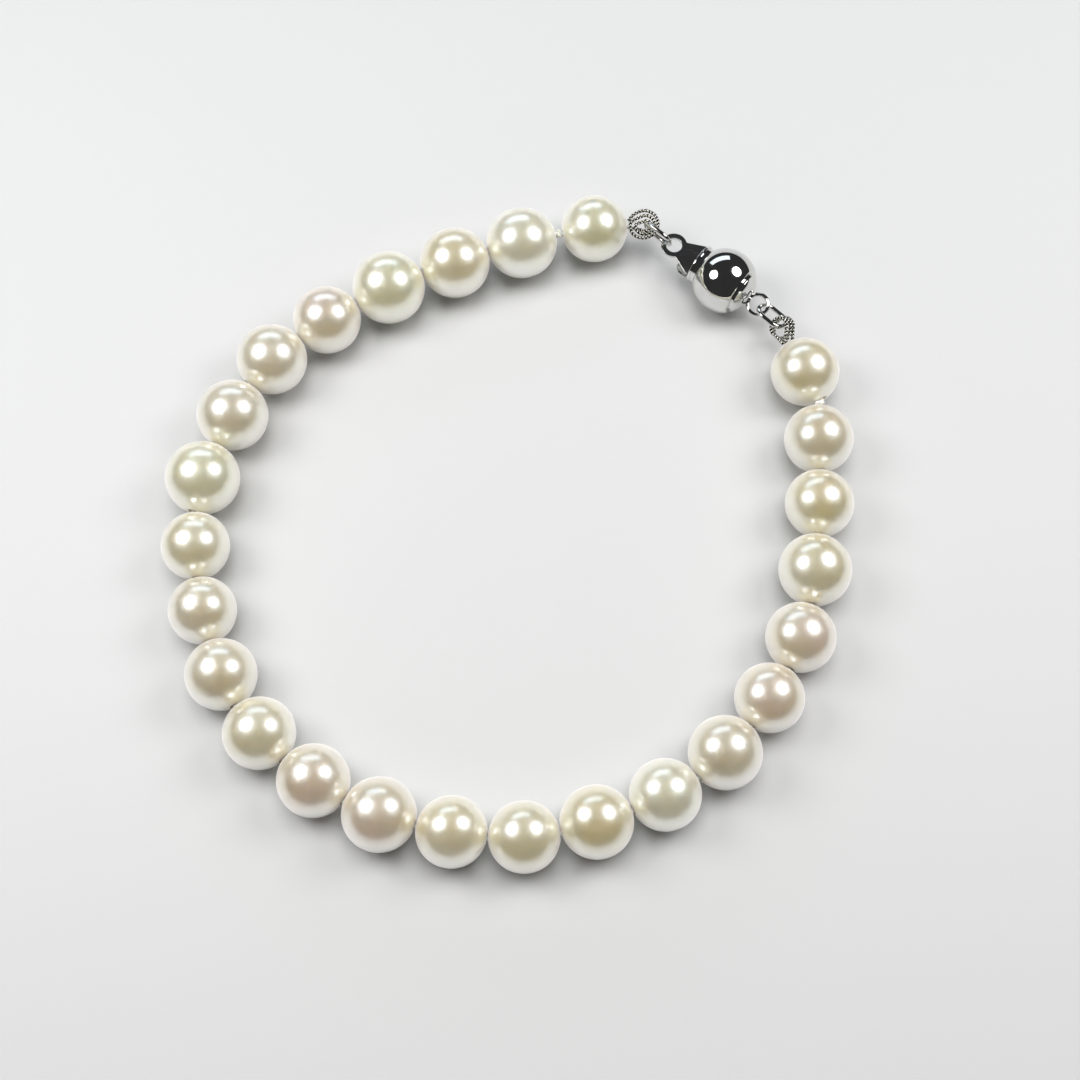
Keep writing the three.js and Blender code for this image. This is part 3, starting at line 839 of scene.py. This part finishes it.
# %% Plate of the tongue
TONGUE = {"fold_at": -0.75, "top": 0.45, "thickness": 0.3, "half_width": 1.3}
EYE = {"at": -6.1, "radius": 1.28, "hole": 0.78, "neck_angle": 50.0, "bands": 48}
SHOULDER = {"back": -3.3, "front": -3.55, "half_width": 1.75}
NECK = {"at": -5.1, "half_width": 1.05}
ROUNDING = 0.03
ROUNDING_POINTS = 4


def plate_outline(count):
    """The plate seen from above, as evenly spaced points: flank, eye, and the other flank mirrored."""
    neck = math.radians(EYE["neck_angle"])
    flank = np.array([
        [TONGUE["fold_at"], TONGUE["half_width"]],
        [SHOULDER["back"], TONGUE["half_width"]],
        [SHOULDER["back"], SHOULDER["half_width"]],
        [SHOULDER["front"], SHOULDER["half_width"]],
        [NECK["at"], NECK["half_width"]],
    ])
    eye = arc((EYE["at"], 0), EYE["radius"], neck, 2 * np.pi - neck, EYE["bands"])
    outline = np.concatenate([flank, eye, flank[::-1] * (1, -1), flank[:1]])
    outline = np.concatenate([outline, np.zeros((len(outline), 1))], axis=1)
    return evenly(outline, count + 1)[:-1, :2]


def flat_section():
    """Once round a flat section with rounded edges, as rows of (side, face, in from the side, in from the
    face). Side and face are 1 or -1, and each of the four edges is a quarter circle."""
    angle = np.linspace(0, np.pi / 2, ROUNDING_POINTS)
    edge = ROUNDING * np.stack([1 - np.sin(angle), 1 - np.cos(angle)], axis=-1)
    signs = [(-1, 1), (1, 1), (1, -1), (-1, -1)]
    return [(side, face, *row) for side, face in signs for row in edge[:: side * face]]


def plate_shell(count=400):
    """The flat section round the plate. Its one side is the hole's wall, and its other the outer edge."""
    outline = plate_outline(count)
    tangent = unit(np.roll(outline, -1, axis=0) - np.roll(outline, 1, axis=0))
    outward = np.stack([-tangent[:, 1], tangent[:, 0]], axis=-1)
    outward *= np.sign(np.sum(outward * (outline - [EYE["at"] / 2, 0]), axis=1).sum())
    from_eye = unit(outline - [EYE["at"], 0])
    hole = [EYE["at"], 0] + EYE["hole"] * from_eye
    half = TONGUE["thickness"] / 2
    rings = []
    for side, face, inset, drop in flat_section():
        flat = outline - outward * inset if side > 0 else hole + from_eye * inset
        height = np.full((count, 1), TONGUE["top"] - half + face * (half - drop))
        rings.append(np.concatenate([flat, height], axis=1))
    return shell(np.array(rings), closed=True)


print("points round the plate's section:", len(flat_section()))

# %% [markdown]
# The lower half is the leaf. It starts inside the ball where the strip folds, and comes back out through
# the slot a little lower. There it widens into a tab with round corners, which a fingernail presses to
# open the clasp. It is a flat section carried along that bent path, and its half width changes on the way.

# %% Leaf of the tongue
LEAF = {"thickness": 0.25, "in_plate": 0.4, "fold_drop": -0.2, "fold_bands": 16}
LEAF_IN_SLOT = {"at": -3.1, "drop": -0.45}
LEAF_END = {"at": -4.9, "drop": -0.85}
THUMB_TAB = {"back": -3.3, "front": -3.5, "half_width": 1.8, "end_half_width": 1.5, "corner": 0.75}


def leaf_path(steps):
    """The middle of the strip, from inside the plate, round the fold and out to the tab."""
    half = LEAF["thickness"] / 2
    upper = TONGUE["top"] - TONGUE["thickness"] / 2
    lower = LEAF["fold_drop"] - half
    centre, radius = (TONGUE["fold_at"], (upper + lower) / 2), (upper - lower) / 2
    fold = arc(centre, radius, np.pi / 2, -np.pi / 2, LEAF["fold_bands"])
    start = [[TONGUE["fold_at"] - LEAF["in_plate"], upper]]
    end = [[place["at"], place["drop"] - half] for place in (LEAF_IN_SLOT, LEAF_END)]
    rows = np.concatenate([start, fold, end])
    return evenly(np.stack([rows[:, 0], 0 * rows[:, 0], rows[:, 1]], axis=-1), steps)


def leaf_half_width(path):
    """As wide as the plate up to the slot, then the tab, less a quarter circle at its two corners."""
    on_tab = np.arange(len(path)) > len(path) // 2
    along, corner = path[:, 0], THUMB_TAB["corner"]
    stops = [LEAF_END["at"], THUMB_TAB["front"], THUMB_TAB["back"]]
    widths = [THUMB_TAB["end_half_width"], THUMB_TAB["half_width"], TONGUE["half_width"]]
    width = np.interp(along, stops, widths)
    past = np.clip(LEAF_END["at"] + corner - along, 0, corner)
    return np.where(on_tab, width - corner + np.sqrt(corner**2 - past**2), TONGUE["half_width"])


def leaf_shell(steps=260):
    """The flat section along the leaf's path. Its last ring is drawn in, to round the tab's end."""
    path = leaf_path(steps)
    across_leaf = np.array([0, 1.0, 0])
    over = np.cross(unit(np.gradient(path, axis=0)), across_leaf)
    drawn_in = np.where(np.arange(steps) == steps - 1, ROUNDING, 0)
    half = leaf_half_width(path) - drawn_in
    thick = LEAF["thickness"] / 2 - drawn_in
    rings = [
        path + across_leaf * (side * (half - inset))[:, None] + over * (face * (thick - drop))[:, None]
        for side, face, inset, drop in flat_section()
    ]
    return shell(np.stack(rings, axis=1))


tongue_surface = on_clasp(joined([plate_shell(), leaf_shell()]))
tongue = add_piece("tongue_of_clasp", tongue_surface, satin, ["clasp_tongue"], crease=50)
print("tongue triangles:", triangle_count(tongue))

# %% [markdown]
# ## Jump rings
#
# A jump ring is a turn of round wire, here drawn into an oval so that its ends can't work round to a bend.
# One hangs in the tongue's eye and stands almost on edge, and the other lies in the ball's ring.

# %% Build the jump rings
JUMP_RING = {"length": 3.5, "width": 2.6, "wire": 0.24, "steps": 120, "sides": 24}
RING_BEND = JUMP_RING["width"] / 2 - JUMP_RING["wire"]
JUMP_RINGS = [
    {"name": "jump_ring_tongue", "from": -6.58, "heading": 139.5, "height": 3.45, "roll": 78},
    {"name": "jump_ring_ball", "from": 4.32, "heading": -44, "height": 2.9, "roll": -30},
]


def jump_ring_place(row):
    """(middle of the wire at the near end, the same at the far end, axes): the axes are the ring's length,
    its width and the direction out of its plane. The roll turns the last two about the first."""
    length = heading(row["heading"])
    near = CLASP_MIDDLE + CLASP_AXES[0] * row["from"]
    near[2] = row["height"]
    far = near + length * (JUMP_RING["length"] - 2 * JUMP_RING["wire"])
    roll = math.radians(row["roll"])
    width = np.cross([0, 0, 1.0], length) * math.cos(roll) + np.array([0, 0, math.sin(roll)])
    return near, far, np.stack([length, width, np.cross(length, width)])


def build_jump_ring(row):
    """An oval of wire on the ring's own axes, about the middle between its two ends."""
    near, far, axes = jump_ring_place(row)
    path = ring_path(RING_BEND, (JUMP_RING["length"] - JUMP_RING["width"]) / 2, JUMP_RING["steps"])
    points, quads, triangles = wire_ring(path, JUMP_RING["wire"], JUMP_RING["sides"])
    surface = (near + far) / 2 + points @ axes, quads, triangles
    return add_piece("oval_" + row["name"], surface, polished, [row["name"]])


jump_rings = [build_jump_ring(row) for row in JUMP_RINGS]
print("jump ring triangles:", [triangle_count(piece) for piece in jump_rings])

# %% [markdown]
# ## French wire
#
# Where silk turns round a metal ring it would soon fray, so it is covered with French wire: a fine wire
# wound into a close coil, like a tiny spring, that the silk is drawn through. Here the coil goes three
# times round its jump ring, and both ends go into the drill hole.
#
# The route is the middle of the coil. Each loop has its own axes, from the drill hole: out to the jump
# ring, aside across the turns, and rise along the ring's wire. The winding is a true helix round the
# route, because its shape shows. Its crests stand 0.02 mm past the plain wire of the solid, and its grooves
# lie under it, so both look equally thick.

# %% Turns of the French wire
COIL_RADIUS = 0.19
TURN_ANGLES = np.array([135, 90, 45, 0, -45, -90, -135])
SINKS_FROM = -45
WIRE_LOOPS = [
    {
        "name": "french_wire_tongue", "pearl": 0, "side": -1, "ring": 0, "tilt": 0, "last_sink": 0.36,
        "start": (0.15, 0.34, 0.06),
        "turns": [
            {"radius": 1.42, "back": 0.22, "rise": 0.22},
            {"radius": 0.97, "back": 0.12, "rise": 0.1},
            {"radius": 0.52, "back": 0.02, "rise": -0.1},
        ],
        "passes": [(0.42, -0.04, 0.26), (0.92, -0.02, -0.02)],
        "end": (0.15, -0.3, -0.2),
    },
    {
        "name": "french_wire_ball", "pearl": -1, "side": 1, "ring": 1, "tilt": 22, "last_sink": 0,
        "start": (0.15, 0.3, 0.38),
        "turns": [
            {"radius": 1.1, "back": 0.1, "rise": 0.52},
            {"radius": 1.0, "back": 0.1, "rise": 0.14},
            {"radius": 0.9, "back": 0.1, "rise": -0.38},
        ],
        "passes": [(0.56, -0.2, 0.22), (0.76, 0.2, -0.3)],
        "end": (0.15, -0.25, -0.4),
    },
]


print("turns of French wire:", [len(row["turns"]) for row in WIRE_LOOPS])


# %% Routes of the French wire
def drill_mouth(index, side):
    """Where a pearl's hole opens: the root of its radius squared less the hole's squared, along the hole."""
    reach = math.sqrt(radii[index] ** 2 - DRILL_RADIUS**2)
    return centres[index] + side * reach * holes[index]


def loop_axes(row):
    """(drill mouth, distance to the jump ring's wire, axes out, aside and rise). The loop hooks on to the
    ring's far bend, at the angle of the drill mouth."""
    mouth = drill_mouth(row["pearl"], row["side"])
    _, far, (along, width, _) = jump_ring_place(JUMP_RINGS[row["ring"]])
    bend = far - RING_BEND * along
    angle = math.atan2((mouth - bend) @ width, (mouth - bend) @ along)
    hook = bend + RING_BEND * (math.cos(angle) * along + math.sin(angle) * width)
    wire = math.cos(angle) * width - math.sin(angle) * along
    out = unit(hook - mouth)
    level = unit(np.cross(wire, out))
    tilt = math.radians(row["tilt"])
    aside = level * math.cos(tilt) + np.cross(out, level) * math.sin(tilt)
    return mouth, np.linalg.norm(hook - mouth), np.stack([out, aside, np.cross(out, aside)])


def turn_points(turn, reach, sink):
    """One turn round the wire. The last one sinks towards its end, to come out under the others: by the
    square of how far it has gone from SINKS_FROM to the end."""
    angle = np.radians(TURN_ANGLES)
    gone = (SINKS_FROM - TURN_ANGLES) / (SINKS_FROM - TURN_ANGLES[-1])
    sunk = sink * np.clip(gone, 0, None) ** 2
    out = reach - turn["back"] + turn["radius"] * np.cos(angle)
    return np.stack([out, turn["radius"] * np.sin(angle), turn["rise"] - sunk], axis=-1)


def loop_route(row, steps=1800):
    """From the drill hole, by the turns and the passes between them, and back into the hole."""
    mouth, reach, axes = loop_axes(row)
    sinks = (0, 0, row["last_sink"])
    first, second, third = (turn_points(turn, reach, sink) for turn, sink in zip(row["turns"], sinks))
    passes = [[place] for place in row["passes"]]
    points = [[row["start"]], first, passes[0], second, passes[1], third, [row["end"]]]
    return mouth + smooth_path(np.concatenate(points), steps) @ axes, axes[2]


loop_routes = [loop_route(row) for row in WIRE_LOOPS]
print("French wire lengths in mm:", [round(path_length(route), 2) for route, _ in loop_routes])

# %% Wind the coils
STRANDS = 2
STRAND_RADIUS = COIL_RADIUS / 2
STRAND_SIDES = 12
PITCH = 0.68
STEPS_A_TURN = 24


def strand(route, out_of_plane, phase):
    """One strand: a helix round the route. Its angle grows by a full turn for each pitch of length. The
    crown at a point is the cosine of its angle round the strand: 1 on the outside of the coil."""
    turns = path_length(route) / PITCH
    line = evenly(route, int(turns * STEPS_A_TURN))
    side, over = across(line, out_of_plane)
    angle = np.linspace(0, 2 * np.pi * turns, len(line))[:, None] + phase
    spoke = side * np.cos(angle) + over * np.sin(angle)
    path = line + (COIL_RADIUS - STRAND_RADIUS) * spoke
    along = unit(np.gradient(path, axis=0))
    side = unit(spoke - along * np.sum(spoke * along, axis=1, keepdims=True))
    rings = rings_round(path, side, np.cross(along, side), np.full(STRAND_SIDES, STRAND_RADIUS))
    crown = np.concatenate([np.tile(np.cos(angles_round(STRAND_SIDES)), len(path)), [0, 0]])
    return shell(rings), crown


def build_coil(row, route, out_of_plane):
    """The strands, spread evenly round the route. Their crown values go to the material."""
    strands = [strand(route, out_of_plane, 2 * np.pi * k / STRANDS) for k in range(STRANDS)]
    surface = joined([surface for surface, _ in strands])
    piece = add_piece("coil_" + row["name"], surface, wire_metal, [row["name"]])
    # The crown values tell the material where to paint shade into the grooves.
    add_values(piece, "crown", np.concatenate([crown for _, crown in strands]))
    return piece


coils = [build_coil(row, *route) for row, route in zip(WIRE_LOOPS, loop_routes)]
print("coil triangles:", [triangle_count(piece) for piece in coils])

# %% [markdown]
# ## Silk
#
# Beading silk is three yarns twisted together. Modelling each yarn would cost more than it shows, because
# the thread is hidden but for the gaps beside its two knots. So it is one tube whose three-lobed section
# turns as it goes. The thread is straight through each pearl and bends between them.

# %% Silk finish
SILK_SHADER = {"Roughness": 0.55, "Subsurface Weight": 0.3, "Subsurface Scale": 0.2 * MM, "Sheen Weight": 0.3}
FIBRES = {"scale": 9000.0, "detail": 3.0, "low": 0.3, "high": 0.7}
FIBRE_RELIEF = {"distance": 0.01, "strength": 0.6}
SILK_COLOURS = [(0.80, 0.77, 0.69, 1), (0.90, 0.88, 0.82, 1)]


def silk_material():
    """Fine fibres: small noise, as lighter and darker specks and as relief."""
    material, tree, shader = new_material("silk", **SILK_SHADER)
    fine = patches(tree, own_axes(tree), **FIBRES)
    tree.links.new(mix_colour(tree, fine, *SILK_COLOURS), shader.inputs["Base Color"])
    add_relief(tree, shader, fine, **FIBRE_RELIEF)
    return material


silk = silk_material()
print("thread finish:", silk.name)

# %% Thread and knots
SILK_RADIUS = 0.2
SILK_SIDES = 15
LOBE = 0.14
TWIST = 1.3
KNOTS = [{"after": 1, "gap": 0.65, "radius": 0.45}, {"after": 24, "gap": 0.5, "radius": 0.5}]
KNOT_CLEARANCE = 0.05
KNOT_THREAD = 0.15
KNOT_STEPS, KNOT_SIDES = 160, 12


def lobed(path):
    """Radii of a three-lobed section that turns once for each twist of length: the silk's radius, less
    a lobe's depth, plus that depth times the cosine of three times the turned angle."""
    length = np.linspace(0, path_length(path), len(path))[:, None]
    turned_angle = angles_round(SILK_SIDES) - 2 * np.pi * length / TWIST
    return SILK_RADIUS * (1 - LOBE + LOBE * np.cos(3 * turned_angle))


def thread_joints():
    """The bends of the silk: its two ends, halfway between two pearls, and on both sides of a knot."""
    before = [drill_mouth(index, -1) for index in range(len(centres))]
    after = [drill_mouth(index, 1) for index in range(len(centres))]
    knotted = {row["after"] for row in KNOTS}
    joints = [before[0]]
    for count in range(1, len(centres)):
        mouths = [after[count - 1], before[count]]
        joints += mouths if count in knotted else [(mouths[0] + mouths[1]) / 2]
    return np.array(joints + [after[-1]])


def thread_shell(joints, step=0.09):
    """The lobed section carried along the joints, with a ring at every step."""
    path = evenly(joints, int(path_length(joints) / step))
    return shell(swept(path, [0, 0, 1.0], lobed(path)))


def knot_shell(row):
    """An overhand knot pulled tight: the trefoil line (sin t + 2 sin 2t, cos t - 2 cos 2t, -sin 3t), pressed
    flat between its two pearls. The direction out from its middle is the reference for the section."""
    t = np.linspace(0, 2 * np.pi, KNOT_STEPS, endpoint=False)
    out = (row["radius"] - KNOT_THREAD) / 3
    rise = row["gap"] / 2 - KNOT_CLEARANCE - KNOT_THREAD
    around = [np.sin(t) + 2 * np.sin(2 * t), np.cos(t) - 2 * np.cos(2 * t)]
    line = np.stack([-rise * np.sin(3 * t), out * around[0], out * around[1]], axis=-1)
    last, following = row["after"] - 1, row["after"]
    forward = unit(centres[following] - centres[last])
    level = unit(np.cross([0, 0, 1.0], forward))
    middle = (drill_mouth(last, 1) + drill_mouth(following, -1)) / 2
    path = middle + line @ np.stack([forward, level, np.cross(forward, level)])
    return shell(swept(path, forward, np.full(KNOT_SIDES, KNOT_THREAD), closed=True), closed=True)


silk_surface = joined([thread_shell(thread_joints())] + [knot_shell(row) for row in KNOTS])
thread = add_piece("beading_silk", silk_surface, silk, ["silk_thread"], crease=80)
print("silk triangles:", triangle_count(thread))

# %% [markdown]
# ## Table, light and room
#
# A pearl or a polished ball shows the whole room, so the light is half of the picture. Two soft round
# lamps stand left and right, a long one with a cool colour stands low at the back, and the room above is
# dark. Two more lamps are kept out of the reflections: a wide one high above opens the shadows, and a long
# one in front lightens the near sides.

# %% Floor
FLOOR_HALF = 3.0
FLOOR_SHADER = {"Roughness": 0.6, "Base Color": (0.55, 0.55, 0.545, 1)}


def make_floor():
    """A pale, faintly glossy table top, wide enough to fill every reflection below the horizon."""
    mesh = bpy.data.meshes.new("floor")
    corners = [(x * FLOOR_HALF, y * FLOOR_HALF, 0) for x, y in ((-1, -1), (1, -1), (1, 1), (-1, 1))]
    mesh.from_pydata(corners, [], [(0, 1, 2, 3)])
    mesh.materials.append(new_material("pale_top", **FLOOR_SHADER)[0])
    floor = bpy.data.objects.new("floor", mesh)
    bpy.context.scene.collection.objects.link(floor)
    return floor


floor = make_floor()
print("table:", floor.name, 2 * FLOOR_HALF, "metres wide")


# %% Lamps
def add_lamp(name, shape, size, place, radiance, colour=(1, 1, 1), in_reflections=True):
    """A flat lamp at a place in millimetres, facing the middle of the bracelet. Its power is radiance times
    area times pi, so radiance is how bright it looks in a mirror, where it is seen in reflections."""
    data = bpy.data.lights.new(name, "AREA")
    data.shape = shape
    data.size = size[0] * MM
    data.size_y = size[1] * MM
    area = data.size * data.size_y * (np.pi / 4 if shape == "DISK" else 1)
    data.energy = radiance * area * np.pi
    data.color = colour
    lamp = bpy.data.objects.new(name, data)
    lamp.location = np.array(place) * MM
    lamp.rotation_euler = (-lamp.location).to_track_quat("-Z", "Y").to_euler()
    lamp.visible_camera = False
    lamp.visible_glossy = in_reflections
    bpy.context.scene.collection.objects.link(lamp)
    return lamp


LAMPS = [
    {"name": "left", "shape": "DISK", "size": (98, 98), "place": (-112, 24, 142), "radiance": 6.7},
    {"name": "right", "shape": "DISK", "size": (118, 118), "place": (143, 52, 172), "radiance": 6.7},
    {
        "name": "back", "shape": "RECTANGLE", "size": (216, 76), "place": (-36, 210, 113), "radiance": 1.8,
        "colour": (0.76, 0.88, 1.0),
    },
    {
        "name": "fill", "shape": "DISK", "size": (640, 640), "place": (0, 150, 1000), "radiance": 7.6,
        "in_reflections": False,
    },
    {
        "name": "front", "shape": "RECTANGLE", "size": (500, 200), "place": (0, -460, 240), "radiance": 1.0,
        "in_reflections": False,
    },
]
lamps = [add_lamp(**row) for row in LAMPS]
print("lamps:", [lamp.name for lamp in lamps])

# %% Room
ROOM = {"dark": (0.035, 0.035, 0.037, 1), "seen": (0.80, 0.80, 0.80, 1)}


def make_world():
    """A dark room for light and reflections. What the camera itself sees past the table is plain and pale."""
    world = bpy.data.worlds.new("room")
    world.use_nodes = True
    tree = world.node_tree
    tree.nodes.clear()
    seen = add_node(tree, "ShaderNodeLightPath").outputs["Is Camera Ray"]
    colour = mix_colour(tree, seen, ROOM["dark"], ROOM["seen"])
    background = add_node(tree, "ShaderNodeBackground", {"Color": colour})
    add_node(tree, "ShaderNodeOutputWorld", {"Surface": background.outputs[0]})
    return world


bpy.context.scene.world = make_world()
bpy.context.scene.view_settings.view_transform = "Standard"
print("room:", bpy.context.scene.world.name)
